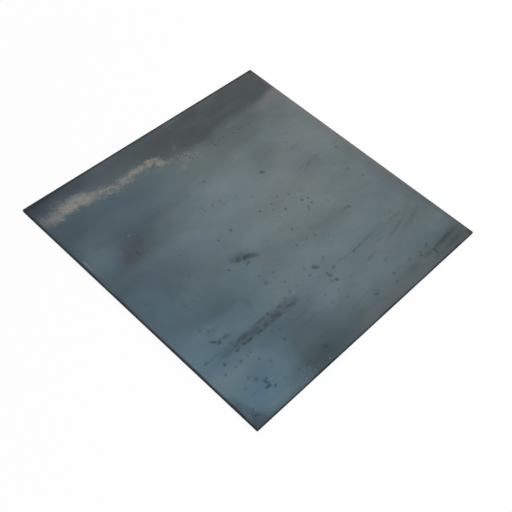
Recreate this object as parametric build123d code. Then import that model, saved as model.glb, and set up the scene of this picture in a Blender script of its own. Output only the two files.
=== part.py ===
"""A square of hot-rolled steel plate, cut to size on a guillotine shear.

X is the rolling direction, Y lies across it and Z is up. The origin is at the middle of the underside.
All four edges were sheared from the same side, so each has the section that a shear leaves: the top face
rolls over into a smooth upright land, and below that the torn part slopes back in to the underside.
"""

from build123d import *
import os

# The plate, in millimetres
length = 609.6  # along the rolling direction, 24 inches
width = 609.6  # across the rolling direction, 24 inches
thickness = 6.35  # a quarter of an inch

# The sheared edge, from the top face down to the underside
roll_over_width = 1.1  # how far in from the edge the blade drew the top face down
roll_over_depth = 0.45  # how far it was drawn down at the edge
land_height = 2.0  # the smooth upright band that the blade rubbed
fracture_slope_in = 0.45  # how far the torn part lies inside the land where it reaches the underside
burr_dressing = 0.35  # radius left where the burr was filed off the lower edge

# The corners of the outline, where two cuts meet
corner_radius = 1.5  # filed so that they don't cut a hand


def edge_outline(span):
    """Half of the section across two sheared edges, from the middle of the top round to the underside."""
    edge = span / 2
    land_top = thickness - roll_over_depth
    land_bottom = land_top - land_height
    with BuildLine() as half:
        Line((0, thickness), (edge - roll_over_width, thickness))
        EllipticalCenterArc((edge - roll_over_width, land_top), roll_over_width, roll_over_depth)
        Polyline((edge, land_top), (edge, land_bottom), (edge - fracture_slope_in, 0), (0, 0))
    return half.line


def sheared_strip(span, run):
    """A strip that runs along Y, with its two long edges sheared span apart across X."""
    with BuildPart() as strip:
        with BuildSketch(Plane.XZ.offset(run / 2)) as section:
            with BuildLine():
                add(edge_outline(span))
                mirror(about=Plane.YZ)
            make_face()
            lowest = section.vertices().group_by(Axis.Y)[0].sort_by(Axis.X)
            fillet([lowest[0], lowest[-1]], burr_dressing)
        extrude(amount=-run)
    return strip.part


def filed_outline():
    """The upright prism of the plate's outline, with its four corners filed round."""
    with BuildPart() as outline:
        with BuildSketch():
            RectangleRounded(length, width, corner_radius)
        extrude(amount=thickness)
    return outline.part


def steel_plate():
    """The plate: one pair of cuts, crossed by the other pair, with the corners filed."""
    first_cuts = sheared_strip(length, width)
    second_cuts = sheared_strip(width, length).rotate(Axis.Z, 90)
    plate = first_cuts & second_cuts & filed_outline()
    plate.label = "plate"
    return plate


def main():
    os.makedirs("parts", exist_ok=True)
    export_step(steel_plate(), "parts/plate.step")


main()
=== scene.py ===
"""Looks of a square of hot-rolled steel plate: its sheared rim, its mill scale and what has marked it.

The file is laid out as an add-on and run as a script. X is the rolling direction, Y lies across it and Z is
up, in metres, with the origin at the middle of the underside.
"""

import math
import random

import bmesh
import bpy
from mathutils import Matrix, Vector, noise


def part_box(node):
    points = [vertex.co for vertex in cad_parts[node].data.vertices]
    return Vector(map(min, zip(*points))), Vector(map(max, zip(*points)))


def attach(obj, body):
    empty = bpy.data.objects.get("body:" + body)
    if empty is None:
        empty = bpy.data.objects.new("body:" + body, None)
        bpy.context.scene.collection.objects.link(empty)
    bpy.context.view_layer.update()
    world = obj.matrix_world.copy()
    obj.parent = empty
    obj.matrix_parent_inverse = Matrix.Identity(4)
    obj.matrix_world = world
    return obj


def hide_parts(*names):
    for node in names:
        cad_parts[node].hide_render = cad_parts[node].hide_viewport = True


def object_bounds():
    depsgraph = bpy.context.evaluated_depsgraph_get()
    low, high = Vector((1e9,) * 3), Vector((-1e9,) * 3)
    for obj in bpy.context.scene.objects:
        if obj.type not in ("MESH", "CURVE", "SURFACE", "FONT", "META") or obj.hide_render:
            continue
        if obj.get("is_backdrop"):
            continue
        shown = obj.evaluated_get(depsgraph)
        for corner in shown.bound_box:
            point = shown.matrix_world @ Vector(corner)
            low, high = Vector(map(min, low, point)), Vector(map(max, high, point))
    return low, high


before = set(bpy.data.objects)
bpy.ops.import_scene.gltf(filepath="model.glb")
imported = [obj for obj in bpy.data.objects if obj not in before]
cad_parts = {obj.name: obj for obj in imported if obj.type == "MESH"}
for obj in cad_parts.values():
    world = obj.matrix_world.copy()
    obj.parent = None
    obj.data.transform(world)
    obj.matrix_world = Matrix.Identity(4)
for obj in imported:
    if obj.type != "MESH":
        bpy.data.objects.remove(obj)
CAD_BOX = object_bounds()
PLATE_LOW, PLATE_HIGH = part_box("plate")
LENGTH, WIDTH, THICKNESS = PLATE_HIGH - PLATE_LOW

bl_info = {
    "name": "Steel plate",
    "version": (1, 0, 0),
    "blender": (4, 5, 0),
    "location": "3D View > Sidebar > Steel plate",
    "description": "Makes a sheared square of hot-rolled plate with its mill scale, and a pale stage",
    "category": "Object",
}

MM = 0.001


def screen_colour(red, green, blue):
    """A colour read off a screen, 0 to 255 a channel, as the linear values that shaders take."""
    shares = (red / 255, green / 255, blue / 255)
    return [s / 12.92 if s <= 0.04045 else ((s + 0.055) / 1.055) ** 2.4 for s in shares]


# Property groups: the sizes and colours that a user would change


def number_property(name, description, default, **kind):
    """A number that can be set."""
    return bpy.props.FloatProperty(name=name, description=description, default=default, **kind)


def size_property(name, description, default):
    """A length that can be set."""
    kind = {"min": 0, "unit": "LENGTH", "subtype": "DISTANCE", "precision": 5}
    return number_property(name, description, default, **kind)


def place_property(name, description, default):
    """A place in the scene that can be set."""
    kind = {"subtype": "TRANSLATION", "unit": "LENGTH"}
    return bpy.props.FloatVectorProperty(name=name, description=description, default=default, **kind)


def colour_property(name, description, red, green, blue):
    """A colour that can be set, from how a screen shows it."""
    kind = {"default": screen_colour(red, green, blue), "min": 0, "max": 1, "subtype": "COLOR"}
    return bpy.props.FloatVectorProperty(name=name, description=description, **kind)


class PlateShape(bpy.types.PropertyGroup):
    """Sizes of the plate's rim and of its relief."""

    roll_over_width: size_property("Roll-over width", "How far in the shear drew the top face down", 1.1 * MM)
    roll_over_depth: size_property("Roll-over depth", "How far it was drawn down at the edge", 0.45 * MM)
    land_height: size_property("Land height", "Height of the smooth band that the blade rubbed", 2.0 * MM)
    fracture_slope: size_property("Fracture slope", "How far in the torn band runs", 0.45 * MM)
    burr_dressing: size_property("Burr dressing", "Radius filed on the lower edge", 0.35 * MM)
    corner_radius: size_property("Corner radius", "Radius filed on the corners of the outline", 1.5 * MM)
    tear_depth: size_property("Tear depth", "Depth of the grain of the torn band", 0.14 * MM)
    land_wander: size_property("Land wander", "How far the foot of the land wanders up and down", 0.5 * MM)
    nick_depth: size_property("Nick depth", "Depth of the handling nicks in the upper edge", 0.3 * MM)
    waviness: size_property("Waviness", "Depth of the slow waves that rolling leaves", 0.08 * MM)


class PlateFinish(bpy.types.PropertyGroup):
    """Colours of the plate's faces and edges."""

    scale: colour_property("Mill scale", "The blue-grey oxide that covers both faces", 97, 112, 116)
    sky: colour_property("Blue scale", "Thin, bluer scale near one corner", 78, 104, 118)
    slate: colour_property("Slate scale", "Thicker, darker scale along one side", 64, 81, 91)
    shade: colour_property("Shaded scale", "Bluish-dark scale beside one edge", 62, 77, 83)
    ink: colour_property("Rim scale", "Nearly black scale along the rim and in two corners", 50, 60, 69)
    olive: colour_property("Olive scale", "Greenish-grey scale along the foot of the brown band", 86, 95, 94)
    umber: colour_property("Brown scale", "The brown-grey band beside one edge", 68, 74, 74)
    bronze: colour_property("Bronze scale", "Greenish-brown scale at the far end of that band", 67, 75, 69)
    mist: colour_property("Misty scale", "Bands of light blue-grey scale across the sheet", 98, 116, 122)
    # Frost, and pale where it lightens the middle of the top face and the side where X is highest, are partly
    # lighter scale and partly painted sheen
    frost: colour_property("Lightest scale", "The lightest patches of the scale", 116, 128, 131)
    pale: colour_property("Pale scale", "Worn scale that has gone light and greenish", 106, 115, 115)
    ash: colour_property("Grey haze", "Faint grey clouds over the scale", 86, 95, 97)
    rose: colour_property("Rosy scale", "A faint pinkish tint beside some of the edges", 118, 113, 110)
    plum: colour_property("Plum stain", "A purplish stain", 64, 67, 73)
    moss: colour_property("Green smudge", "A dark green smudge", 46, 60, 60)
    tan: colour_property("Tan bloom", "The speckled tan patch where the scale has lifted", 135, 133, 126)
    # Also the colour of two painted highlights along the rolled-over edge where X is lowest
    bright: colour_property("Bright chips", "Small chips down to the steel", 160, 168, 170)
    pit: colour_property("Pits", "Small dark pits and streaks", 42, 56, 63)
    land: colour_property("Rubbed land", "The smooth upper band of the sheared edges", 36, 42, 45)
    torn: colour_property("Torn steel", "The grainy lower band of the sheared edges", 26, 31, 34)


class StudioSettings(bpy.types.PropertyGroup):
    """The camera, the floor and the light."""

    camera_place: place_property("Camera place", "Where the camera stands", (-0.8173, -0.6215, 1.2506))
    camera_target: place_property(
        "Camera target", "The point that the middle of the picture shows", (-0.05578, -0.06086, 0.00635)
    )
    camera_roll: number_property("Camera roll", "How far it is rolled", math.radians(9.51), subtype="ANGLE")
    camera_lens: number_property("Lens", "Focal length on a 36 mm sensor", 59.56, min=1, unit="CAMERA")
    floor_radius: size_property("Floor radius", "How far the floor reaches", 9.0)
    floor_colour: colour_property("Floor", "The pale floor", 248, 249, 250)
    floor_glow: number_property(
        "Floor glow", "How far the floor is plain white, with the rest kept for its shadow", 0.9, min=0, max=1
    )
    world_light: number_property("World light", "How strongly the surroundings light the plate", 0.72, min=0)
    lamp_place: place_property("Lamp place", "Where the large lamp hangs", (1.2, -1.4, 2.4))
    lamp_size: size_property("Lamp size", "Side of the large lamp", 1.8)
    lamp_light: number_property("Lamp power", "Power of the large lamp", 30.0, min=0, unit="POWER")


# The plate's mesh

CELLS = 64  # squares of each face, along each side
COLUMN_CUTS = 7  # cuts of each of those squares' sides round the rim
ROLL_STEPS, LAND_STEPS, TEAR_STEPS, BURR_STEPS, CORNER_STEPS = 6, 3, 7, 3, 5
RIM_MARGIN = 3 * MM  # flat strip between the squares and the rim
SHORT_EDGE = 2 * MM  # edges of the filed corners are shorter than this, and aren't cut into columns
NEAR_ZERO = 1e-6

# Relief: how long each kind of lump is, in plan and, where two are given, in height
FOOT_LUMPS, FOOT_RIPPLES = 14 * MM, 3 * MM  # of the land's foot
TEAR_LUMPS, TEAR_LINES = (1.8 * MM, 2.2 * MM), (0.9 * MM, 6 * MM)  # of the torn band
TEAR_FADE = 0.5 * MM  # height over which the tears fade at the top and the foot of their band
WAVE_LENGTH, WAVE_FADE = 160 * MM, 40 * MM  # of the faces' slow waves, and how far in they are whole
FOOT_SEED, RIPPLE_SEED, WAVE_SEED, TEAR_SEED, LINE_SEED, NICK_SEED = 3, 7, 5, 11, 17, 24
NICKS_A_SIDE = 5
NICK_REACH = 0.46  # nicks lie up to this share of the side from its middle
NICK_RADII = (1.2, 3.2)  # least and greatest, in millimetres
NICK_FILL = 0.7  # share of the full depth, as a nick runs in and down at once


def rim_section(shape):
    """The rim's section from the top face to the underside: distance in from the outline, and height."""
    land_top = THICKNESS - shape.roll_over_depth
    land_foot = land_top - shape.land_height
    tilt = math.atan2(shape.fracture_slope, land_foot)
    tangent = shape.burr_dressing * math.tan((math.pi / 2 - tilt) / 2)
    burr_middle = shape.fracture_slope + tangent
    section = []
    for step in range(1, ROLL_STEPS + 1):
        turn = math.pi / 2 * step / ROLL_STEPS
        inset = shape.roll_over_width * (1 - math.sin(turn))
        section.append((inset, THICKNESS - shape.roll_over_depth * (1 - math.cos(turn))))
    for step in range(1, LAND_STEPS + 1):
        section.append((0.0, land_top - shape.land_height * step / LAND_STEPS))
    burr_top = tangent * math.cos(tilt)
    for step in range(1, TEAR_STEPS + 1):
        height = land_foot + (burr_top - land_foot) * step / TEAR_STEPS
        section.append((shape.fracture_slope * (1 - height / land_foot), height))
    for step in range(1, BURR_STEPS + 1):
        turn = tilt + (math.pi / 2 - tilt) * step / BURR_STEPS
        inset = burr_middle - shape.burr_dressing * math.cos(turn)
        section.append((inset, shape.burr_dressing * (1 - math.sin(turn))))
    return section


def face_grid(bm, inset, height):
    """Adds a flat grid of squares that ends inset from the outline, at a height."""
    made = bmesh.ops.create_grid(bm, x_segments=CELLS, y_segments=CELLS, size=0.5)["verts"]
    bmesh.ops.scale(bm, vec=(LENGTH - 2 * inset, WIDTH - 2 * inset, 1), verts=made)
    bmesh.ops.translate(bm, vec=(0, 0, height), verts=made)


def extrude_ring(bm, edges, old, new):
    """Extrudes a ring of edges from one (inset, height) to the next, and returns the new ring."""
    made = bmesh.ops.extrude_edge_only(bm, edges=edges)["geom"]
    verts = [item for item in made if isinstance(item, bmesh.types.BMVert)]
    fresh = set(verts)
    growth = ((LENGTH / 2 - new[0]) / (LENGTH / 2 - old[0]), (WIDTH / 2 - new[0]) / (WIDTH / 2 - old[0]), 1)
    bmesh.ops.scale(bm, vec=growth, verts=verts)
    bmesh.ops.translate(bm, vec=(0, 0, new[1] - old[1]), verts=verts)
    return [item for item in made if isinstance(item, bmesh.types.BMEdge) and fresh.issuperset(item.verts)]


def inset_of(point):
    """How far a point lies in from the plate's outline."""
    return min(LENGTH / 2 - abs(point.x), WIDTH / 2 - abs(point.y))


def is_corner_edge(edge):
    """Whether an edge runs down one of the four corners of the rim."""
    a, b = (v.co for v in edge.verts)
    on_mitre = all(abs((LENGTH / 2 - abs(p.x)) - (WIDTH / 2 - abs(p.y))) < NEAR_ZERO for p in (a, b))
    return on_mitre and abs(a.z - b.z) > NEAR_ZERO


def is_ring_edge(edge, reach):
    """Whether an edge runs along the rim, no further in than reach, and is long enough to be cut."""
    a, b = (v.co for v in edge.verts)
    level = abs(a.z - b.z) < NEAR_ZERO and abs(inset_of(a) - inset_of(b)) < NEAR_ZERO
    return level and inset_of(a) < reach and (a - b).length > SHORT_EDGE


def plate_body(shape):
    """The closed body: two gridded faces joined by the rim, with filed corners and fine columns round it."""
    bm = bmesh.new()
    margin = shape.roll_over_width + RIM_MARGIN
    face_grid(bm, margin, THICKNESS)
    ring = [edge for edge in bm.edges if edge.is_boundary]
    here = (margin, THICKNESS)
    for there in [(shape.roll_over_width, THICKNESS), *rim_section(shape), (margin, 0.0)]:
        ring = extrude_ring(bm, ring, here, there)
        here = there
    face_grid(bm, margin, 0.0)
    bmesh.ops.remove_doubles(bm, verts=bm.verts, dist=0.01 * MM)
    bmesh.ops.bevel(
        bm,
        geom=[edge for edge in bm.edges if is_corner_edge(edge)],
        offset=shape.corner_radius,
        offset_type="OFFSET",
        segments=CORNER_STEPS,
        profile=0.5,
        affect="EDGES",
        material=-1,
    )
    around = [edge for edge in bm.edges if is_ring_edge(edge, margin + NEAR_ZERO)]
    bmesh.ops.subdivide_edges(bm, edges=around, cuts=COLUMN_CUTS)
    bmesh.ops.recalc_face_normals(bm, faces=bm.faces)
    for vert in bm.verts:
        for axis in range(3):
            vert.co[axis] = max(PLATE_LOW[axis], min(PLATE_HIGH[axis], vert.co[axis]))
    return bm


def ripple(place, along, down, seed):
    """Noise from -1 to 1 that changes over along metres in plan and down metres in height."""
    shift = Vector((seed, seed, seed))
    return noise.noise(Vector((place.x / along, place.y / along, place.z / down)) + shift)


def outward(place):
    """The level direction out of the nearest side."""
    if LENGTH / 2 - abs(place.x) < WIDTH / 2 - abs(place.y):
        return Vector((math.copysign(1, place.x), 0, 0))
    return Vector((0, math.copysign(1, place.y), 0))


def nick_places():
    """Where handling has nicked the upper edge: points on it, each with a radius."""
    draw = random.Random(NICK_SEED)
    places = []
    for side in range(4):
        for _ in range(NICKS_A_SIDE):
            along = draw.uniform(-NICK_REACH, NICK_REACH)
            radius = draw.uniform(*NICK_RADII) * MM
            x, y = [(along, -0.5), (0.5, along), (along, 0.5), (-0.5, along)][side]
            places.append((Vector((x * LENGTH, y * WIDTH, THICKNESS)), radius))
    return places


def roughen_rim(bm, shape):
    """Tears the fracture band, lets the land's foot wander and nicks the upper edge, always inwards."""
    land_top = THICKNESS - shape.roll_over_depth
    land_foot = land_top - shape.land_height
    nicks = nick_places()
    for vert in bm.verts:
        place = vert.co.copy()
        if inset_of(place) > shape.roll_over_width + NEAR_ZERO:
            continue
        if not NEAR_ZERO <= place.z <= THICKNESS - NEAR_ZERO:
            continue
        way = outward(place)
        if place.z < land_top:
            wander = ripple(Vector((place.x, place.y, 0)), FOOT_LUMPS, 1, FOOT_SEED)
            wander += 0.5 * ripple(place, FOOT_RIPPLES, 1, RIPPLE_SEED)
            pull = min(1, (land_top - place.z) / shape.land_height) * min(1, place.z / land_foot)
            vert.co.z += shape.land_wander * wander * pull
        if place.z < land_foot + NEAR_ZERO:
            fade = min(1, (land_foot - place.z) / TEAR_FADE) * min(1, place.z / TEAR_FADE)
            lumps = 0.5 * ripple(place, *TEAR_LUMPS, TEAR_SEED)
            lines = 0.4 * ripple(place, *TEAR_LINES, LINE_SEED)
            vert.co -= way * shape.tear_depth * max(0, 0.5 + lumps + lines) * fade
        for centre, radius in nicks:
            distance = (place - centre).length / radius
            if distance < 1:
                depth = shape.nick_depth * (1 - distance**2) ** 2 * NICK_FILL
                vert.co -= (way + Vector((0, 0, 1))) * depth


def wave_faces(bm, shape):
    """Gives both faces the slow waves that rolling leaves, inwards from the flat rim."""
    for vert in bm.verts:
        inset = inset_of(vert.co)
        if inset < shape.roll_over_width + RIM_MARGIN + NEAR_ZERO:
            continue
        fade = min(1, inset / WAVE_FADE)
        wave = 0.5 + 0.5 * ripple(vert.co, WAVE_LENGTH, 1, WAVE_SEED)
        dip = shape.waviness * wave * fade
        vert.co.z += -dip if vert.co.z > THICKNESS / 2 else dip


def plate_mesh(shape):
    """The finished mesh. Its slots: the top's scale, the underside's, the land and the torn band."""
    bm = plate_body(shape)
    land_top = THICKNESS - shape.roll_over_depth
    for face in bm.faces:
        height = face.calc_center_median().z
        face.smooth = True
        if height < NEAR_ZERO:
            face.material_index = 1
        elif height < land_top - shape.land_height:
            face.material_index = 3
        elif height < land_top:
            face.material_index = 2
    roughen_rim(bm, shape)
    wave_faces(bm, shape)
    mesh = bpy.data.meshes.new("plate_finished")
    bm.to_mesh(mesh)
    bm.free()
    return mesh


# Materials

NOISE_LOW, NOISE_HIGH = 0.3, 0.7  # nearly all of a noise texture's values lie between these
SCALE_METALLIC, SCALE_SPECULAR, SCALE_BUMP = 0.35, 0.25, 0.09 * MM
EDGE_SPECULAR = 0.1
GAP_LOW, GAP_HIGH = 0.4, 0.6  # a streak has its gaps where the noise is below, and is whole above
SPOT_FADE = (1.35, 0.35)  # shares of its radius between which a spot grows from nothing to whole

# Lines along the rim: how far in from the outline each begins to show, and where it is whole
INKED_RIM, WORN_RIM, UNDER_RIM = (4.4 * MM, 2.0 * MM), (2.7 * MM, 1.1 * MM), (4.0 * MM, 0.8 * MM)
RIM_SWAY = 0.5 * MM  # how far the two lines of the top sway in and out
SPARED_WIDTH = 4.0 * MM  # how much nearer the outline the worn line lies where the rim is spared

# Lumps of the noise in each finish: how long along X, Y and Z, with a plain 1 where height has no part
CLOUDS, BLOTCHES, FAINT_LINES = (110 * MM, 62 * MM, 1), (22 * MM, 18 * MM, 1), (34 * MM, 5 * MM, 1)
BREAKS, BAND_LUMPS, SATIN = (5 * MM, 3 * MM, 1), (9 * MM, 8 * MM, 1), (60 * MM, 22 * MM, 1)
BLOOM_FRAY, BLOOM_MOTTLE, BLOOM_HOLES = (4.5 * MM, 5 * MM, 1), (3.4 * MM, 5 * MM, 1), (16 * MM, 9 * MM, 1)
TAN_LUMPS, DARK_GRAINS, FINE_GRAIN = (9 * MM, 7 * MM, 1), (4 * MM, 5 * MM, 1), 1.5 * MM
UNDER_ZONES, ROLLER_RUBS, SCUFFS = (190 * MM, 120 * MM, 1), (420 * MM, 2.2 * MM, 1), (14 * MM, 8 * MM, 1)
LAND_LINES, LAND_BANDS = (0.7 * MM, 0.7 * MM, 12 * MM), (30 * MM, 30 * MM, 4 * MM)
TORN_GRAIN, TORN_BANDS = (0.9 * MM, 0.9 * MM, 1.6 * MM), (24 * MM, 24 * MM, 6 * MM)
BLOTCH_SHIFT, UNDER_SHIFT = (1.3, 0.7, 0), (3.7, 1.9, 0)  # to parts of the noise that look unlike


class Tree:
    """A node tree, with a short way to add each kind of node that the plate needs."""

    def __init__(self, tree):
        self.tree = tree

    def add(self, kind, **settings):
        node = self.tree.nodes.new(kind)
        for name, value in settings.items():
            setattr(node, name, value)
        return node

    def feed(self, socket, value):
        """Feeds an input with another node's output or with a value. A colour is taken as opaque."""
        if isinstance(value, bpy.types.NodeSocket):
            self.tree.links.new(value, socket)
        elif socket.type == "RGBA":
            socket.default_value = (*value, 1.0)
        else:
            socket.default_value = value

    def fed(self, node, *values):
        """The node, with its first inputs fed in order."""
        for socket, value in zip(node.inputs, values):
            self.feed(socket, value)
        return node

    def place(self):
        """The place that is being shaded, in the object's own coordinates."""
        return self.add("ShaderNodeTexCoord").outputs["Object"]

    def math(self, operation, *values):
        return self.fed(self.add("ShaderNodeMath", operation=operation), *values).outputs[0]

    def vector(self, operation, *values):
        node = self.fed(self.add("ShaderNodeVectorMath", operation=operation), *values)
        return node.outputs["Value" if operation in ("LENGTH", "DISTANCE") else "Vector"]

    def scaled(self, vector, factor):
        node = self.add("ShaderNodeVectorMath", operation="SCALE")
        self.feed(node.inputs[0], vector)
        self.feed(node.inputs["Scale"], factor)
        return node.outputs["Vector"]

    def stretched(self, place, reach):
        """The place in steps of reach along X, Y and Z."""
        node = self.add("ShaderNodeMapping", vector_type="TEXTURE")
        return self.fed(node, place, (0, 0, 0), (0, 0, 0), reach).outputs[0]

    def noise(self, place, size, detail=2.0, colour=False):
        """Noise with lumps about size across. Three values stretch the lumps along X, Y and Z."""
        if isinstance(size, tuple):
            place, size = self.stretched(place, size), 1.0
        node = self.add("ShaderNodeTexNoise")
        self.feed(node.inputs["Vector"], place)
        self.feed(node.inputs["Scale"], 1 / size)
        self.feed(node.inputs["Detail"], detail)
        return node.outputs[1 if colour else 0]

    def ramp(self, value, low, high, to_low=0.0, to_high=1.0):
        """The value eased from to_low at low to to_high at high, and held beyond them."""
        node = self.add("ShaderNodeMapRange", interpolation_type="SMOOTHSTEP")
        return self.fed(node, value, low, high, to_low, to_high).outputs[0]

    def spread(self, texture, to_low, to_high):
        """A noise texture's values eased onto the range from to_low to to_high."""
        return self.ramp(texture, NOISE_LOW, NOISE_HIGH, to_low, to_high)

    def spread_each(self, textures, to_low, to_high):
        """Each of three noise values taken straight onto its own range."""
        node = self.add("ShaderNodeMapRange", data_type="FLOAT_VECTOR")
        values = (textures, (NOISE_LOW,) * 3, (NOISE_HIGH,) * 3, to_low, to_high)
        for index, value in enumerate(values, start=6):
            self.feed(node.inputs[index], value)
        return node.outputs[1]

    def blend(self, share, under, over):
        """One colour laid over another by a share from 0 to 1."""
        node = self.add("ShaderNodeMix", data_type="RGBA")
        for index, value in ((0, share), (6, under), (7, over)):
            self.feed(node.inputs[index], value)
        return node.outputs[2]

    def shaded(self, colour, texture, depth):
        """The colour made darker and lighter by up to depth, as the noise texture goes."""
        return self.scaled(colour, self.spread(texture, 1 - depth, 1 + depth))

    def warped(self, place, reach, size, detail=3.0):
        """The place pushed about in plan by up to half of reach, over lumps of size."""
        push = self.vector("SUBTRACT", self.noise(place, size, detail, colour=True), (0.5, 0.5, 0.5))
        return self.vector("ADD", place, self.vector("MULTIPLY", push, (reach, reach, 0)))

    def most(self, shares):
        """The largest of several shares, each compared as it is made, so that few wait at a time."""
        largest = 0.0
        for share in shares:
            largest = self.math("MAXIMUM", largest, share)
        return largest

    def oval(self, place, mark):
        """How near a place lies to a mark: 1 in its middle, a half on its outline and 0 at twice its size.

        The gradient's own mapping is used, because hundreds of Mapping nodes are more than one shader can
        hold.
        """
        u, v, along, across, turn = (*mark, 0)[:5]
        node = self.fed(self.add("ShaderNodeTexGradient", gradient_type="SPHERICAL"), place)
        node.texture_mapping.vector_type = "TEXTURE"
        node.texture_mapping.translation = plan_point(u, v)
        node.texture_mapping.rotation = (0, 0, math.radians(turn))
        node.texture_mapping.scale = (2 * along * SHARE * LENGTH, 2 * across * SHARE * WIDTH, 1)
        return node.outputs["Fac"]

    def patches(self, place, marks, soft, share=1.0):
        """How much any of several marks covers a place: share inside, fading over soft of their size."""
        nearest = self.most(self.oval(place, mark) for mark in marks)
        return self.ramp(nearest, 0.5 - soft / 4, 0.5 + soft / 4, 0.0, share)

    def spots(self, place, points, radius, share):
        """How much any of several round spots covers a place: share in their middles."""
        nearest = self.vector("DISTANCE", place, plan_point(*points[0]))
        for point in points[1:]:
            nearest = self.math("MINIMUM", nearest, self.vector("DISTANCE", place, plan_point(*point)))
        return self.ramp(nearest, radius * SPOT_FADE[0], radius * SPOT_FADE[1], 0.0, share)


def material(name):
    """A new material, its tree and its shader."""
    made = bpy.data.materials.new(name)
    made.use_nodes = True
    return made, Tree(made.node_tree), made.node_tree.nodes["Principled BSDF"]


def plan_point(u, v):
    """A point in plan from its thousandths along X and Y, from the corner where both are lowest."""
    x = PLATE_LOW.x + (u - NEAR_SIDES[0]) * SHARE * LENGTH
    y = PLATE_LOW.y + (v - NEAR_SIDES[1]) * SHARE * WIDTH
    return (x, y, 0)


def set_shader(tree, shader, colour, roughness, metallic, specular):
    """Feeds the shader with what every one of the plate's materials sets."""
    tree.feed(shader.inputs["Base Color"], colour)
    tree.feed(shader.inputs["Roughness"], roughness)
    tree.feed(shader.inputs["Metallic"], metallic)
    tree.feed(shader.inputs["Specular IOR Level"], specular)


def set_bump(tree, shader, height, depth):
    """Raises the surface by up to depth where the height is 1."""
    bump = tree.add("ShaderNodeBump")
    tree.feed(bump.inputs["Distance"], depth)
    tree.feed(bump.inputs["Height"], height)
    tree.feed(shader.inputs["Normal"], bump.outputs[0])


# Marks of the top face, in thousandths of the plate's side. A place is u along X and v along Y. An oval is u,
# v, its two half sizes and, where it is turned, its turn in degrees. They were read off the outline as the
# camera sees it, which takes in the two near sides of the plate, by the thousandths below.
SHARE = 0.001
NEAR_SIDES = (2.6, 0.6)

# Broad tones of the scale: colour, how strong, how soft, then the oval
TONES = (
    ("slate", 0.92, 0.9, (20, 800, 320, 280)),
    ("slate", 0.74, 0.9, (50, 500, 280, 280)),
    ("slate", 0.48, 0.9, (260, 800, 220, 140)),
    ("sky", 0.95, 0.8, (60, 120, 200, 240)),
    ("sky", 0.4, 0.9, (200, 240, 340, 240)),
    ("sky", 0.35, 0.9, (30, 400, 80, 140)),
    # Pale zone over the middle and towards the side where X is highest: partly lighter scale, partly painted
    # sheen
    ("pale", 0.72, 0.9, (700, 560, 340, 260)),
    ("pale", 0.9, 0.8, (970, 700, 140, 180)),
    ("mist", 0.6, 0.8, (550, 645, 170, 80, 10)),
    ("pale", 0.35, 0.9, (550, 655, 120, 50)),
    ("mist", 0.35, 0.9, (280, 610, 260, 45)),
    ("mist", 0.25, 0.9, (400, 470, 200, 55)),
    ("mist", 0.5, 0.9, (500, 265, 600, 45)),
    ("mist", 0.5, 0.9, (100, 150, 160, 50)),
    ("mist", 0.4, 0.9, (50, 710, 100, 70)),
    ("olive", 0.7, 0.9, (780, 820, 200, 65)),
    ("olive", 0.4, 0.9, (560, 840, 100, 50)),
    ("olive", 0.8, 0.8, (960, 925, 80, 40)),
    ("umber", 0.88, 0.5, (660, 930, 400, 80)),
    ("umber", 0.55, 0.6, (560, 895, 160, 70, -10)),
    ("bronze", 0.45, 0.8, (880, 945, 200, 65)),
    ("plum", 0.48, 0.7, (340, 985, 400, 50)),
    ("slate", 0.28, 0.8, (240, 985, 320, 45)),
    ("umber", 0.95, 0.6, (940, 990, 200, 50)),
    ("ash", 0.2, 0.8, (700, 665, 80, 50)),
    ("ash", 0.15, 0.8, (840, 545, 100, 40, 6)),
    ("ash", 0.35, 0.8, (680, 360, 140, 35)),
    ("ash", 0.6, 0.9, (930, 190, 240, 180)),
    ("shade", 0.4, 0.9, (190, 345, 120, 45)),
    ("shade", 0.3, 0.9, (240, 200, 200, 50)),
    ("shade", 0.75, 0.9, (460, 0, 280, 85)),
    ("umber", 0.6, 0.9, (740, 0, 340, 85)),
    ("umber", 0.7, 0.8, (970, 30, 130, 90)),
    ("ink", 0.85, 0.8, (20, 1000, 240, 55)),
    ("rose", 0.62, 0.9, (940, 860, 90, 32)),
    ("plum", 0.7, 0.9, (150, 655, 80, 52, 8)),
    ("plum", 0.3, 0.9, (270, 700, 120, 30)),
)

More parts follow.
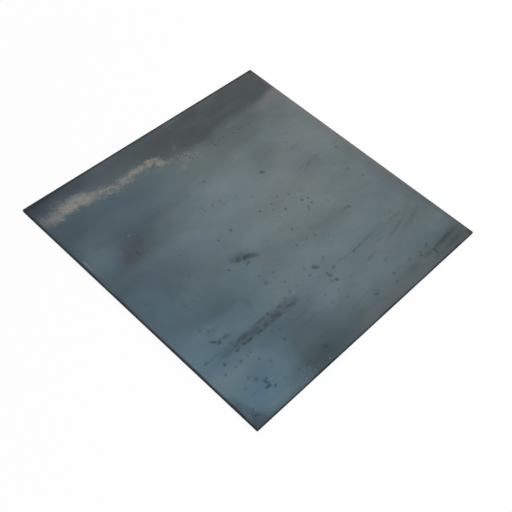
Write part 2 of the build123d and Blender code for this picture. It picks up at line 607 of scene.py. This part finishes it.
# Smaller tones, each with a nearly still outline
SMALL_TONES = (
    ("slate", 0.72, 1.2, (9, 52, 24, 55)),
    ("slate", 0.45, 1.2, (4, 95, 12, 30)),
    ("plum", 0.3, 1.2, (12, 88, 10, 12)),
    ("slate", 0.6, 1.1, (150, 2, 170, 13)),
    ("ink", 0.75, 1.2, (18, 4, 52, 30)),
    ("shade", 0.92, 0.9, (310, 15, 125, 60)),
    ("shade", 0.64, 1.1, (315, 95, 85, 85)),
    ("ink", 0.42, 1.2, (285, 24, 85, 30)),
    ("shade", 0.42, 1.1, (430, 60, 70, 60)),
    ("shade", 0.25, 1.2, (565, 100, 90, 50)),
    ("shade", 0.2, 1.2, (390, 130, 50, 60)),
    ("umber", 0.25, 1.1, (840, 45, 90, 30)),
    ("rose", 0.15, 1.1, (570, 20, 130, 24)),
    ("umber", 0.38, 1.2, (1000, 370, 50, 190)),
    ("rose", 0.16, 1.2, (985, 400, 30, 130)),
    ("plum", 0.22, 1.0, (1000, 220, 12, 260)),
    ("umber", 0.25, 1.2, (840, 85, 60, 30)),
    ("shade", 0.2, 1.2, (710, 218, 60, 22)),
    ("slate", 0.22, 1.2, (30, 480, 45, 45)),
    ("mist", 0.34, 1.2, (30, 162, 45, 36)),
    ("sky", 0.34, 1.2, (215, 130, 40, 55)),
    ("sky", 0.2, 1.2, (850, 92, 80, 34)),
    ("sky", 0.28, 1.2, (215, 35, 35, 32)),
    # Lightest patches over the middle: partly lighter scale, partly painted sheen
    ("frost", 0.15, 1.2, (470, 470, 60, 40)),
    ("frost", 0.15, 1.2, (670, 430, 60, 55)),
    ("frost", 0.2, 1.2, (720, 575, 100, 60)),
    ("pale", 0.3, 1.2, (527, 891, 9, 8)),
    ("slate", 0.26, 1.3, (275, 200, 60, 100)),
    ("sky", 0.24, 1.2, (380, 530, 130, 40)),
    ("umber", 0.14, 1.2, (810, 530, 70, 40)),
    ("umber", 0.2, 1.1, (950, 25, 90, 40)),
    ("umber", 0.3, 1.2, (660, 972, 70, 24)),
    ("ink", 0.2, 1.2, (660, 972, 55, 22)),
    ("umber", 0.16, 1.2, (950, 975, 70, 26)),
    ("umber", 0.85, 1.1, (992, 915, 36, 32)),
    ("rose", 0.2, 1.1, (975, 848, 40, 22)),
    ("olive", 0.55, 1.2, (775, 840, 85, 32)),
    ("umber", 0.22, 1.2, (775, 842, 85, 30)),
    ("olive", 0.2, 1.2, (530, 780, 100, 30)),
    ("scale", 0.22, 1.2, (160, 780, 100, 35)),
    ("scale", 0.2, 1.2, (200, 440, 60, 50)),
    ("olive", 0.65, 1.1, (745, 800, 75, 60)),
    ("olive", 0.3, 1.2, (600, 765, 130, 30)),
    ("ash", 0.3, 1.2, (740, 710, 60, 40)),
    ("pale", 0.35, 1.1, (600, 832, 45, 22)),
    # More of the lightest patches over the middle: partly lighter scale, partly painted sheen
    ("frost", 0.36, 1.2, (570, 665, 110, 40)),
    ("frost", 0.24, 1.2, (550, 560, 150, 50)),
    ("frost", 0.22, 1.2, (462, 592, 45, 30)),
    ("frost", 0.3, 1.2, (920, 580, 70, 45)),
    ("frost", 0.2, 1.2, (440, 280, 80, 35)),
    ("frost", 0.2, 1.2, (800, 290, 70, 25)),
    ("pale", 0.2, 1.3, (520, 820, 75, 45, -20)),
    ("shade", 0.45, 1.0, (14, 835, 26, 110)),
    ("ink", 0.82, 1.2, (10, 992, 55, 26)),
    ("rose", 0.25, 1.2, (34, 912, 36, 22)),
    ("plum", 0.38, 1.1, (178.5, 672.5, 26, 14, 10)),
    ("plum", 0.28, 1.1, (121, 643, 20, 18)),
    ("plum", 0.25, 1.1, (131, 680, 6, 22)),
    ("plum", 0.25, 1.1, (750, 42, 22, 12)),
    ("rose", 0.14, 1.1, (760, 845, 30, 8)),
)

# Streaks of scale rolled in along X, and other drawn-out marks: how dark, how broken up, then the oval
STREAKS = (
    (0.26, 0.4, (80, 235, 55, 3.4)),
    (0.28, 0.8, (600, 217.5, 40, 4.2, -5)),
    (0.4, 0.4, (682, 214.5, 32, 3.2, 4)),
    (0.32, 0.5, (730, 218.5, 40, 4.4, 4)),
    (0.15, 0.5, (785, 224, 25, 3.6, 6)),
    (0.28, 0.5, (858, 213, 30, 4.2)),
    (0.3, 0.6, (738, 187.5, 24, 4)),
    (0.3, 0.3, (827, 182, 55, 5.5, 11)),
    (0.22, 0.3, (893, 171, 52, 7, 13)),
    (0.28, 0.3, (670, 160.5, 21, 5.6, 8)),
    (0.14, 0.3, (540, 83, 80, 4.5, 4)),
    (0.15, 0.3, (74, 80, 19, 4.4)),
    (0.13, 0.3, (162, 76, 24, 3.6)),
    (0.14, 0.3, (380, 135, 80, 3.4, -2)),
    (0.16, 0.3, (340, 165, 70, 3.4, 1)),
    (0.14, 0.3, (715, 73.5, 30, 4)),
    (0.42, 0.2, (912, 50, 60, 7.2, 3)),
    (0.3, 0.3, (940, 59, 30, 4, 12)),
    (0.52, 0.4, (933, 25.5, 42, 8, 5)),
    (0.25, 0.4, (869, 17.5, 12, 4)),
    (0.46, 0.2, (846, 73.5, 14, 3.4, 20)),
    (0.42, 0.2, (818, 48, 21, 6.5)),
    (0.24, 0.4, (788, 59, 14, 3.4, 10)),
    (0.22, 0.7, (828, 633, 28, 8)),
    (0.14, 0.6, (800, 557.5, 60, 4.2)),
    (0.26, 0.5, (862, 558, 28, 4.4, 2)),
    (0.28, 0.5, (815, 548, 34, 5.6, 20)),
    (0.24, 0.4, (794, 540, 14, 5, 40)),
    (0.3, 0.3, (957, 560, 10, 3.8)),
    (0.2, 0.3, (710, 490, 13, 3.4)),
    (0.35, 0.85, (772, 931, 95, 11)),
    (0.22, 0.4, (770, 880, 90, 20)),
    (0.14, 0.3, (200, 330, 80, 12)),
    (0.12, 0.3, (270, 298, 12, 22)),
    (0.07, 0.3, (130, 405, 12, 80)),
    (0.06, 0.3, (175, 410, 14, 70, 2)),
)

# The lumpy purple-grey band
ROLLED_BAND = ((250, 219, 120, 17.5), (345, 217, 50, 17.5))

# Dark green smudge: its halo, body and darkest parts, and last a green shade over one of the streaks:
# how dark, how soft, then the ovals
SMUDGES = (
    (0.28, 1.6, ((385, 420, 48, 23, -30),)),
    (0.55, 1.4, ((402, 411, 21, 8, -33), (360.4, 427.3, 7, 9.5, 10))),
    (0.34, 1.4, ((345.8, 434.6, 9, 8.5), (372, 436, 20, 8))),
    (0.8, 1.3, ((381.5, 417.5, 10, 7),)),
    (0.45, 1.5, ((390, 420, 22, 9, -18),)),
    (0.62, 1.3, ((374, 398.5, 10, 3.6, 14), (358, 423.5, 9, 3.4, -20))),
    (0.55, 1.6, ((912, 50, 56, 6.4, 3),)),
)

# Dark pits: radius, how dark, then the places
PITS = (
    (3.4 * MM, 0.57, (
        (424.5, 522.5), (617, 468), (684.5, 457.5), (778.5, 339), (77, 199.5), (312.5, 418.3),
    )),
    (3.0 * MM, 0.57, ((547, 514.5), (652.2, 212.5), (30, 35), (285, 233.5))),
    (3.3 * MM, 0.45, (
        (526, 211.5), (949, 539), (501.5, 720), (367, 519), (705, 450), (700, 430), (572, 398),
        (536, 345), (679, 426), (361, 312), (57, 175.5), (119, 176.5), (119, 307), (110, 109.5),
        (260, 143), (679, 73), (759, 74), (798.5, 57.5),
    )),
    (3.1 * MM, 0.34, (
        (419, 629.5), (452.5, 632), (633, 520), (669, 503), (672, 416.5), (918, 397), (764, 344),
        (365, 343), (406, 325), (406, 277), (392, 244), (363, 238), (480, 242), (486, 272), (461, 163),
        (610, 334), (700, 123), (664, 47.5), (68, 108), (95, 173), (799, 810), (643, 814.5), (865, 237.5),
        (562, 260), (180, 120), (144.5, 175.5), (158.5, 178), (516.3, 184), (507, 114.6), (274, 175),
        (254, 186), (97, 127), (807, 69), (597, 512.5), (100, 323), (162, 148), (728, 813), (752, 814),
        (768, 814.5),
    )),
    (3.3 * MM, 0.21, (
        (480, 631), (584.5, 491), (585.6, 388.5), (581, 461), (833, 668), (645, 830.5), (688, 822),
        (914, 210), (747, 400), (905, 449), (885, 491), (764, 674), (418, 646), (533, 610), (571, 574),
        (466, 400), (506, 150), (460, 137), (570, 154), (577, 341), (545, 43), (242, 553), (208, 480),
        (50, 490), (720, 924), (874, 830), (671, 826), (619, 835.5), (642, 733), (670, 960), (820, 796),
        (497, 218.5), (422, 243), (409, 184), (320, 176), (171.5, 55.5), (219, 47.5), (740, 32),
        (778, 551.5), (948, 188), (160, 407), (129, 411), (270, 30), (346, 76.5), (318, 245),
    )),
)

# Drawn-out pits and blots: how dark, then the ovals
BLOTS = (
    (0.64, ((123.3, 85.8, 9.5, 5, -77), (118, 71.5, 11, 5, -13))),
    (0.6, (
        (105.6, 270.6, 12.5, 4.3, -38), (115, 258, 7.5, 3.6), (511, 254.5, 4.6, 6, 40),
        (530, 177.5, 6.5, 5.6, -40),
    )),
    (0.55, (
        (120.6, 262.5, 3.6, 5.5, 10), (519.5, 246.8, 8, 3.4, -38), (126.8, 78, 3.4, 5.5),
        (135.8, 207.5, 8, 4), (187, 208.5, 13, 4.4, 8), (673, 626, 9, 5.2, -35),
    )),
    (0.5, (
        (225.8, 207.5, 11, 3.8), (353.3, 211.7, 12, 4.4), (580, 61.5, 8.5, 4.6, -30),
        (134.6, 60, 7.8, 4.2, 25),
    )),
    (0.45, (
        (131, 91.5, 4.8, 4), (557.9, 214.2, 6.4, 5.8), (166, 209.6, 8, 4.6), (180, 227.5, 24, 6.6),
        (256, 210.6, 8.5, 8), (292.5, 218, 10, 8), (305.4, 211.7, 13, 9.5), (526.7, 200.6, 6.4, 5.6),
        (329, 48, 9.5, 6.4, -45), (154.8, 645, 3.8, 9.5),
    )),
    (0.38, (
        (109.2, 108, 6.2, 5.4), (41.7, 236.7, 7.8, 3.4), (144.4, 261.9, 13, 7.2, -5),
        (847.5, 36, 5.5, 13),
    )),
    (0.32, (
        (139, 234.6, 7.4, 6.2), (265.4, 231.5, 7, 4.8), (283, 207.5, 13, 5.5), (328, 228.3, 10, 5),
        (370, 207.5, 15, 7.4), (212.5, 219, 22, 8.5), (36.7, 51, 8, 3.4, 20), (38.8, 29.2, 6, 3.4),
        (248.3, 43, 8, 3.8, 15),
    )),
    (0.22, ((102.5, 220, 20, 11), (144, 221, 11, 10), (245, 232, 20, 4.6), (587.5, 34, 12, 6.6))),
    (0.2, ((830, 20.8, 9, 4.4), (483, 618, 3.4, 12, 8))),
    (0.16, ((392, 244, 5, 9, -30), (127, 267.5, 7, 2.6), (129, 299, 30, 10))),
)

# Thin dark lines that run beside the side where X is lowest: how dark, then the ovals
EDGE_LINES = (
    (0.28, ((13.8, 800, 1.9, 60), (12.8, 640, 1.9, 65, 1))),
    (0.24, ((10.4, 525, 1.9, 65, 1), (8.8, 395, 1.8, 75))),
    (0.16, ((8, 260, 1.8, 60),)),
)

# Ring-shaped blots with a paler middle: how dark, then the oval. The ring itself is where the oval reads the
# value below.
RING_LINE = 0.58
RINGS = (
    (0.38, (515.5, 252, 9, 6.6, -42)),
    (0.34, (114.2, 262.2, 7.2, 5.2)),
    (0.32, (31, 38.5, 8, 7.8)),
    (0.22, (583, 66.5, 10, 8.5)),
    (0.1, (144.4, 261.9, 13, 7.2, -5)),
)

# Pale chips and scuffs, and last two thin painted highlights along the rolled-over edge of the side where X
# is lowest: ovals
CHIPS_AND_EDGE_GLINTS = (
    (310, 12, 3, 1.8),
    (636, 290, 2.4, 2.4),
    (176, 713, 4, 2.1, 10),
    (185, 711, 2.8, 1.8),
    (14.6, 708, 1.5, 23, -2),
    (7.8, 183, 1.3, 24),
)

# Soft light brush of blue scale near the bottom corner: ovals
BRUSHED = ((215, 22, 30, 16, 20), (150, 16, 100, 14))

# Painted shade along the rim, where its rolled-over edge turns away from the light, strongest along the side
# where Y is highest, and painted shade on the tips of three corners: how dark, then the oval
PAINTED_RIM_SHADE = (
    (0.62, (500, 1000, 2000, 8)),
    (0.8, (0, 1000, 120, 19)),
    (0.35, (150, 1000, 250, 8)),
    (0.3, (850, 1000, 220, 8)),
    (0.7, (0, 960, 7, 60)),
    (0.6, (2, 800, 6, 190)),
    (0.4, (2, 150, 7, 150)),
    (0.75, (998, 998, 16, 14)),
    (0.6, (1000, 960, 7, 60)),
    (0.55, (998, 4, 15, 15)),
)

# Where the rim's dark line is spared, and where it is rosy: ovals
SPARED_RIM = ((1000, 470, 20, 450),)
ROSY_RIM = ((1000, 700, 13, 260), (1000, 360, 7, 160))

# Painted light on the side where Y is lowest, on its half towards X highest, which faces the light, and a
# darker part of the sides by the corner where X is lowest and Y highest: ovals
PAINTED_LIT_SIDE = ((800, 0, 280, 50),)
DARK_SIDE = ((0, 1000, 30, 75),)

# The tan bloom: how thick, then the ovals that it fills
BLOOM = (
    (1.0, ((120, 916, 55, 24, 4), (168, 910, 44, 25, -12))),
    (0.8, ((196, 903, 36, 22, -20), (226, 899, 28, 19, -12))),
    (0.74, ((62, 912, 46, 25), (125, 926, 70, 25))),
    (0.44, ((108, 944, 52, 21), (22, 918, 34, 24))),
    (0.72, ((262, 888, 56, 24), (315, 888, 50, 22))),
    (0.88, ((370, 895, 50, 15), (424, 893, 36, 16), (450, 872, 20, 20, -35))),
    (0.6, ((480, 856, 40, 17, -30), (530, 834, 48, 26, -20))),
    (0.45, ((507, 811, 34, 14, 32), (562, 822, 30, 18, -10), (380, 884, 80, 20))),
)

# Dark grains in the thin parts of the bloom: ovals
BLOOM_GRAINS = (
    (270, 880, 56, 18),
    (128, 893, 30, 7, -8),
    (100, 950, 26, 9),
    (520, 836, 50, 24, -20),
)


def broad_tones(tree, flat, finish):
    """The scale's colour before its marks: soft zones with wandering outlines."""
    drift = tree.warped(flat, 90 * MM, 130 * MM)
    colour = finish.scale
    for name, strength, soft, mark in TONES:
        share = tree.ramp(tree.oval(drift, mark), 0.5 - soft / 4, 0.5 + soft / 2, 0.0, strength)
        colour = tree.blend(share, colour, getattr(finish, name))
    return colour


def rolled_clouds(tree, flat, colour):
    """Clouds drawn out along the rolling direction, blotches of other tints, and faint short lines."""
    clouds = tree.noise(flat, CLOUDS, 5.0)
    colour = tree.shaded(colour, clouds, 0.09)
    elsewhere = tree.vector("ADD", flat, BLOTCH_SHIFT)
    blotches = tree.noise(elsewhere, BLOTCHES, 5.0, colour=True)
    tints = tree.spread_each(blotches, (0.955, 0.965, 0.962), (1.045, 1.035, 1.038))
    colour = tree.vector("MULTIPLY", colour, tints)
    lines = tree.noise(tree.warped(flat, 9 * MM, 30 * MM), FAINT_LINES, 3.0)
    return tree.shaded(colour, lines, 0.018)


def streak_shares(tree, place, breaks):
    """How dark each of the rolled-in streaks is at a place."""
    for strength, broken, mark in STREAKS:
        share = tree.ramp(tree.oval(place, mark), 0.25, 0.85, 0.0, strength)
        yield tree.math("MULTIPLY", share, tree.ramp(breaks, GAP_LOW, GAP_HIGH, 1 - broken, 1.0))


def pit_shares(tree, place):
    """How dark each kind of pit and blot is at a place."""
    for radius, share, places in PITS:
        yield tree.spots(place, places, radius, share)
    for strength, marks in (*BLOTS, *EDGE_LINES):
        yield tree.patches(place, marks, 1.1, strength)
    for strength, mark in RINGS:
        off_ring = tree.math("ABSOLUTE", tree.math("SUBTRACT", tree.oval(place, mark), RING_LINE))
        yield tree.ramp(off_ring, 0.36, 0.08, 0.0, strength)


def bloom_share(tree, place):
    """How much of a place the tan bloom covers: its thickness, mottled and broken up at its edges."""
    drift = tree.warped(place, 11 * MM, 24 * MM)
    fray = tree.warped(drift, 6 * MM, BLOOM_FRAY)
    grain = tree.noise(place, BLOOM_MOTTLE, 3.0)
    patch = tree.noise(place, BLOOM_HOLES, 2.0)
    thickness = tree.most(tree.patches(fray, marks, 1.7, thick) for thick, marks in BLOOM)
    level = tree.math("ADD", thickness, tree.spread(grain, -0.14, 0.14))
    level = tree.math("ADD", level, tree.ramp(patch, 0.35, 0.65, -0.14, 0.08))
    return tree.ramp(level, 0.16, 1.10, 0.0, 0.95)


def inset_distance(tree, place):
    """How far in from the nearest side a place lies."""
    split = tree.fed(tree.add("ShaderNodeSeparateXYZ"), place)
    insets = []
    for side, along in zip((LENGTH, WIDTH), split.outputs):
        insets.append(tree.math("SUBTRACT", side / 2, tree.math("ABSOLUTE", along)))
    return tree.math("MINIMUM", *insets)


def with_dark_marks(tree, flat, ragged, finish, colour):
    """The colour with the dark marks drawn over it, and how much the pits cover a place."""
    breaks = tree.noise(flat, BREAKS, 2.0)
    lumps = tree.ramp(tree.noise(ragged, BAND_LUMPS, 1.5), 0.35, 0.65, 0.30, 0.52)
    rolled_in = tree.math("MULTIPLY", tree.patches(ragged, ROLLED_BAND, 0.7), lumps)
    colour = tree.blend(rolled_in, colour, finish.plum)
    brush_gaps = tree.ramp(breaks, GAP_LOW, GAP_HIGH, 0.05, 0.40)
    brushed = tree.math("MULTIPLY", tree.patches(ragged, BRUSHED, 1.2), brush_gaps)
    colour = tree.blend(brushed, colour, finish.mist)
    gaps = tree.ramp(tree.noise(flat, 5 * MM, 3.0), 0.3, 0.55, 0.6, 1.0)
    for strength, soft, marks in SMUDGES:
        share = tree.math("MULTIPLY", tree.patches(ragged, marks, soft, strength), gaps)
        colour = tree.blend(share, colour, finish.moss)
    wandering = tree.warped(flat, 7 * MM, 14 * MM)
    colour = tree.blend(tree.most(streak_shares(tree, wandering, breaks)), colour, finish.pit)
    pits = tree.most(pit_shares(tree, ragged))
    return tree.blend(pits, colour, finish.pit), pits


def with_bloom(tree, flat, ragged, finish, colour):
    """The colour with the bloom, the pale chips and the painted edge highlights over it, and how much the
    bloom covers a place.
    """
    bloom = bloom_share(tree, flat)
    tan = tree.shaded(finish.tan, tree.noise(flat, TAN_LUMPS, 4.0), 0.14)
    colour = tree.blend(bloom, colour, tan)
    grains = tree.ramp(tree.noise(flat, DARK_GRAINS, 2.0), 0.50, 0.64, 0.0, 0.42)
    grains = tree.math("MULTIPLY", tree.patches(ragged, BLOOM_GRAINS, 1.0), grains)
    colour = tree.blend(grains, colour, finish.pit)
    # Pale chips, and painted highlights along one rolled-over edge
    return tree.blend(tree.patches(ragged, CHIPS_AND_EDGE_GLINTS, 0.5, 0.29), colour, finish.bright), bloom


def with_rim(tree, place, flat, finish, colour):
    """The colour with the rim's lines and its painted shade over it, and how much the worn line covers a
    place.
    """
    sway = tree.spread(tree.noise(flat, 45 * MM, 2.0), -RIM_SWAY, RIM_SWAY)
    rim = tree.math("ADD", inset_distance(tree, place), sway)
    spared = tree.patches(flat, SPARED_RIM, 0.3)
    inked = tree.math("SUBTRACT", tree.ramp(rim, *INKED_RIM, 0.0, 0.35), spared)
    colour = tree.blend(inked, colour, finish.ink)
    # Painted shade along the rolled-over rim, in the colour of the land
    for strength, mark in PAINTED_RIM_SHADE:
        colour = tree.blend(tree.patches(flat, (mark,), 1.0, strength), colour, finish.land)
    colour = tree.blend(tree.patches(flat, ROSY_RIM, 1.0, 0.45), colour, finish.rose)
    spared_rim = tree.math("ADD", rim, tree.math("MULTIPLY", spared, SPARED_WIDTH))
    worn = tree.ramp(spared_rim, *WORN_RIM)
    return tree.blend(worn, colour, finish.land), worn


def top_scale(finish):
    """The mill scale of the top face."""
    made, tree, shader = material("mill_scale_top")
    place = tree.place()
    flat = tree.vector("MULTIPLY", place, (1, 1, 0))
    ragged = tree.warped(flat, 3.4 * MM, 3.5 * MM)
    soft_edged = tree.warped(flat, 16 * MM, 22 * MM)
    colour = rolled_clouds(tree, flat, broad_tones(tree, flat, finish))
    for name, strength, soft, mark in SMALL_TONES:
        share = tree.patches(soft_edged, (mark,), soft, strength)
        colour = tree.blend(share, colour, getattr(finish, name))
    colour, pits = with_dark_marks(tree, flat, ragged, finish, colour)
    colour, bloom = with_bloom(tree, flat, ragged, finish, colour)
    colour, worn = with_rim(tree, place, flat, finish, colour)
    grain = tree.noise(flat, FINE_GRAIN, 3.0)
    colour = tree.shaded(colour, grain, 0.05)
    satin = tree.spread(tree.noise(flat, SATIN, 4.0), 0.42, 0.56)
    rough = tree.math("ADD", satin, tree.math("MULTIPLY", tree.most((bloom, pits, worn)), 0.35))
    metallic = tree.ramp(tree.math("MAXIMUM", bloom, worn), 0.0, 1.0, SCALE_METALLIC, 0.0)
    set_shader(tree, shader, colour, rough, metallic, SCALE_SPECULAR)
    height = tree.math("ADD", tree.math("MULTIPLY", grain, 0.35), tree.math("MULTIPLY", bloom, 0.3))
    height = tree.math("SUBTRACT", height, tree.math("MULTIPLY", pits, 0.6))
    set_bump(tree, shader, height, SCALE_BUMP)
    return made


def under_scale(finish):
    """The mill scale of the underside: more even, rubbed by the rollers and by what it has lain on."""
    made, tree, shader = material("mill_scale_under")
    place = tree.place()
    flat = tree.vector("ADD", tree.vector("MULTIPLY", place, (1, 1, 0)), UNDER_SHIFT)
    zones = tree.noise(flat, UNDER_ZONES, 4.0)
    colour = tree.blend(tree.ramp(zones, 0.35, 0.65), finish.slate, finish.scale)
    colour = rolled_clouds(tree, flat, colour)
    rubbed = tree.ramp(tree.noise(flat, ROLLER_RUBS, 3.0), 0.60, 0.72, 0.0, 0.45)
    colour = tree.blend(rubbed, colour, finish.pale)
    scuffs = tree.ramp(tree.noise(flat, SCUFFS, 3.0), 0.62, 0.74, 0.0, 0.5)
    colour = tree.blend(scuffs, colour, finish.pit)
    rim = tree.ramp(inset_distance(tree, place), *UNDER_RIM, 0.0, 0.5)
    colour = tree.blend(rim, colour, finish.ink)
    grain = tree.noise(flat, FINE_GRAIN, 3.0)
    rough = tree.spread(tree.noise(flat, 40 * MM, 4.0), 0.44, 0.60)
    set_shader(tree, shader, tree.shaded(colour, grain, 0.06), rough, SCALE_METALLIC, SCALE_SPECULAR)
    height = tree.math("SUBTRACT", tree.math("MULTIPLY", grain, 0.4), tree.math("MULTIPLY", scuffs, 0.8))
    set_bump(tree, shader, height, SCALE_BUMP)
    return made


def rubbed_land(finish):
    """The smooth upper band of a sheared edge, with the upright lines that the blade rubbed into it."""
    made, tree, shader = material("rubbed_land")
    place = tree.place()
    lines = tree.noise(place, LAND_LINES, 3.0)
    bands = tree.noise(place, LAND_BANDS, 3.0)
    flat = tree.vector("MULTIPLY", place, (1, 1, 0))
    # Painted light where the side faces the light, then the darker part by one corner
    colour = tree.blend(tree.patches(flat, PAINTED_LIT_SIDE, 1.0, 0.4), finish.land, finish.olive)
    colour = tree.blend(tree.patches(flat, DARK_SIDE, 1.0, 0.8), colour, finish.torn)
    colour = tree.shaded(tree.shaded(colour, lines, 0.22), bands, 0.2)
    set_shader(tree, shader, colour, tree.spread(lines, 0.46, 0.64), 0.1, EDGE_SPECULAR)
    set_bump(tree, shader, lines, 0.05 * MM)
    return made


def torn_steel(finish):
    """The grainy lower band of a sheared edge."""
    made, tree, shader = material("torn_steel")
    place = tree.place()
    grain = tree.noise(place, TORN_GRAIN, 4.0)
    bands = tree.noise(place, TORN_BANDS, 3.0)
    colour = tree.shaded(tree.shaded(finish.torn, grain, 0.35), bands, 0.2)
    set_shader(tree, shader, colour, tree.spread(grain, 0.62, 0.85), 0.0, EDGE_SPECULAR)
    set_bump(tree, shader, grain, 0.25 * MM)
    return made


# The stage

SENSOR_WIDTH = 36.0  # of the camera, in millimetres
WHITE_FROM, WHITE_BY = 0.5, 1.6  # distances over which the floor goes over to plain white


def look_rotation(place, target, roll=0.0):
    """The rotation of what stands at place and looks at target, rolled about its line of sight."""
    facing = (Vector(target) - Vector(place)).to_track_quat("-Z", "Y")
    return (facing.to_matrix() @ Matrix.Rotation(roll, 3, "Z")).to_euler()


def add_camera(studio):
    camera = bpy.data.objects.new("camera", bpy.data.cameras.new("camera"))
    camera.data.lens = studio.camera_lens
    camera.data.sensor_width = SENSOR_WIDTH
    camera.location = studio.camera_place
    camera.rotation_euler = look_rotation(studio.camera_place, studio.camera_target, studio.camera_roll)
    bpy.context.scene.collection.objects.link(camera)
    bpy.context.scene.camera = camera


def add_lamp(studio):
    lamp = bpy.data.objects.new("large_lamp", bpy.data.lights.new("large_lamp", "AREA"))
    lamp.data.shape = "SQUARE"
    lamp.data.size = studio.lamp_size
    lamp.data.energy = studio.lamp_light
    lamp.location = studio.lamp_place
    lamp.rotation_euler = look_rotation(studio.lamp_place, (0, 0, 0))
    bpy.context.scene.collection.objects.link(lamp)


def seen_share(tree):
    """1 for what the camera, a reflection or a see-through surface looks at, and 0 for light."""
    path = tree.add("ShaderNodeLightPath").outputs
    return tree.most(path[name] for name in ("Is Camera Ray", "Is Glossy Ray", "Is Transmission Ray"))


def white_world(studio):
    """Plain white surroundings that look white and light the plate a little less."""
    world = bpy.data.worlds.new("surroundings")
    world.use_nodes = True
    tree = Tree(world.node_tree)
    background = world.node_tree.nodes["Background"]
    tree.feed(background.inputs["Color"], (1, 1, 1))
    tree.feed(background.inputs["Strength"], tree.ramp(seen_share(tree), 0, 1, studio.world_light, 1.0))
    bpy.context.scene.world = world


def floor_material(studio):
    """A pale floor that keeps the plate's shadow and goes over into the white surroundings further off."""
    made, tree, shader = material("pale_floor")
    set_shader(tree, shader, studio.floor_colour, 0.9, 0.0, 0.0)
    glow = tree.add("ShaderNodeEmission")
    away = tree.vector("LENGTH", tree.place())
    share = tree.ramp(away, WHITE_FROM, WHITE_BY, studio.floor_glow, 1.0)
    share = tree.math("MULTIPLY", seen_share(tree), share)
    mix = tree.fed(tree.add("ShaderNodeMixShader"), share, shader.outputs[0], glow.outputs[0])
    tree.feed(made.node_tree.nodes["Material Output"].inputs["Surface"], mix.outputs[0])
    return made


def add_floor(studio):
    bm = bmesh.new()
    bmesh.ops.create_circle(bm, cap_ends=True, segments=96, radius=studio.floor_radius)
    mesh = bpy.data.meshes.new("floor")
    bm.to_mesh(mesh)
    bm.free()
    mesh.materials.append(floor_material(studio))
    floor = bpy.data.objects.new("floor", mesh)
    bpy.context.scene.collection.objects.link(floor)
    floor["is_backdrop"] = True


# Operators, panel and registration


class STEELPLATE_OT_plate(bpy.types.Operator):
    """Make the plate with its sheared rim and its mill scale"""

    bl_idname = "steel_plate.plate"
    bl_label = "Make the plate"

    def execute(self, context):
        finish = context.scene.plate_finish
        mesh = plate_mesh(context.scene.plate_shape)
        for finished in (top_scale, under_scale, rubbed_land, torn_steel):
            mesh.materials.append(finished(finish))
        plate = bpy.data.objects.new("plate_finished", mesh)
        context.scene.collection.objects.link(plate)
        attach(plate, "root")
        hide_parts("plate")
        return {"FINISHED"}


class STEELPLATE_OT_stage(bpy.types.Operator):
    """Make the pale floor, the soft light and the camera"""

    bl_idname = "steel_plate.stage"
    bl_label = "Make the stage"

    def execute(self, context):
        studio = context.scene.plate_studio
        add_camera(studio)
        add_floor(studio)
        white_world(studio)
        add_lamp(studio)
        context.scene.view_settings.view_transform = "Standard"
        return {"FINISHED"}


class STEELPLATE_PT_sidebar(bpy.types.Panel):
    """Lists the plate's and the stage's operators and settings"""

    bl_idname = "STEELPLATE_PT_sidebar"
    bl_label = "Steel plate"
    bl_space_type = "VIEW_3D"
    bl_region_type = "UI"
    bl_category = "Steel plate"

    def draw(self, context):
        layout = self.layout
        for operator in (STEELPLATE_OT_plate, STEELPLATE_OT_stage):
            layout.operator(operator.bl_idname)
        for group in (context.scene.plate_shape, context.scene.plate_finish, context.scene.plate_studio):
            for name in group.__annotations__:
                layout.prop(group, name)


CLASSES = (
    PlateShape,
    PlateFinish,
    StudioSettings,
    STEELPLATE_OT_plate,
    STEELPLATE_OT_stage,
    STEELPLATE_PT_sidebar,
)


def register():
    for made in CLASSES:
        bpy.utils.register_class(made)
    bpy.types.Scene.plate_shape = bpy.props.PointerProperty(type=PlateShape)
    bpy.types.Scene.plate_finish = bpy.props.PointerProperty(type=PlateFinish)
    bpy.types.Scene.plate_studio = bpy.props.PointerProperty(type=StudioSettings)


def unregister():
    del bpy.types.Scene.plate_studio
    del bpy.types.Scene.plate_finish
    del bpy.types.Scene.plate_shape
    for made in reversed(CLASSES):
        bpy.utils.unregister_class(made)


def write_sizes():
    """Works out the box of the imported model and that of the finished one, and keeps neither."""
    boxes = {"cad": CAD_BOX, "visual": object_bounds()}
    {name: [list(corner) for corner in box] for name, box in boxes.items()}


def main():
    register()
    bpy.ops.steel_plate.plate()
    bpy.ops.steel_plate.stage()
    write_sizes()


if __name__ == "__main__":
    main()
